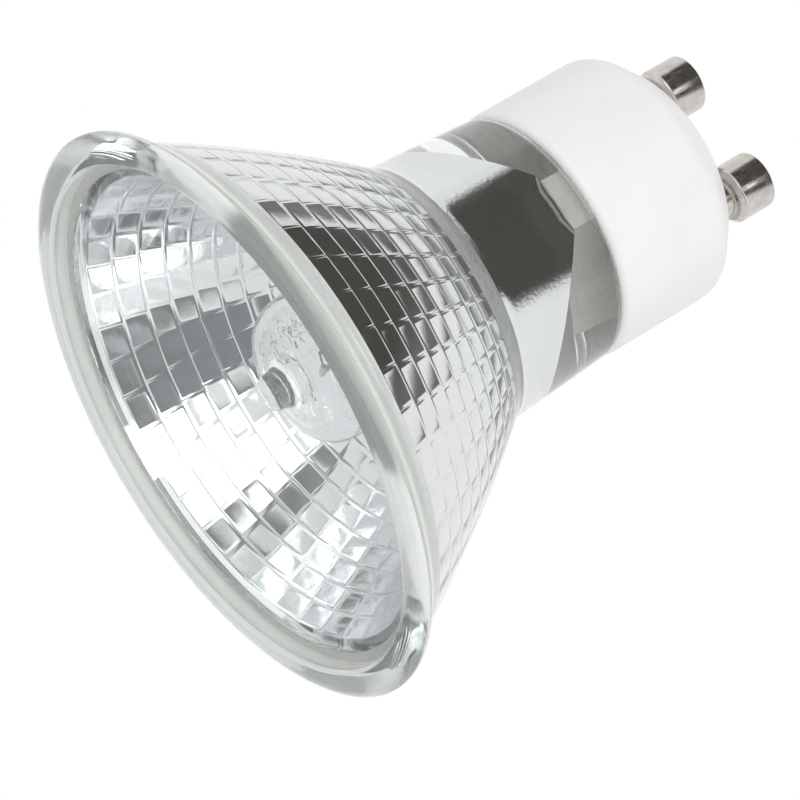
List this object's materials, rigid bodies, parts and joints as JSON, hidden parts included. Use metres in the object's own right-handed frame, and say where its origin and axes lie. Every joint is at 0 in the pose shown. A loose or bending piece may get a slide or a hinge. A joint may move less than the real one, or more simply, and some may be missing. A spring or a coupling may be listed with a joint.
{
  "type": "reflector spot lamp",
  "caption": "Reflector spot lamp: faceted glass bowl with a flat front glass, quartz halogen capsule, white ceramic base and headed contact pins that twist into a lamp holder.",
  "frame": {"origin": "centre of the front rim's plane, on which the lamp stands", "axes": "+Z along the lamp's axis from the front rim towards the contact pins, +X through the right contact pin"},
  "size_m": [0.05, 0.05, 0.0529],
  "materials": {
    "front_glass": "clear polished glass, faint green at the edge",
    "seal_silicone": "clear silicone",
    "reflector_glass": "clear pressed glass, mirror coated inside",
    "quartz": "clear fused quartz",
    "tungsten": "dark drawn wire",
    "molybdenum": "drawn wire and rolled foil",
    "cement": "matt grainy cement",
    "lead_wire": "nickel wire",
    "base_ceramic": "satin white steatite",
    "pin_nickel": "nickel plated, turned and tumbled"
  },
  "bodies": {
    "root": {"front_glass": "front_glass", "front_seal": "seal_silicone", "reflector": "reflector_glass", "quartz_capsule": "quartz", "filament": "tungsten", "inner_lead_short": "molybdenum", "inner_lead_long": "molybdenum", "seal_foil_left": "molybdenum", "seal_foil_right": "molybdenum", "pinch_cement": "cement", "outer_lead_left": "lead_wire", "outer_lead_right": "lead_wire", "ceramic_base": "base_ceramic", "base_cement": "cement", "contact_pin_left": "pin_nickel", "contact_pin_right": "pin_nickel"}
  },
  "joints": []
}
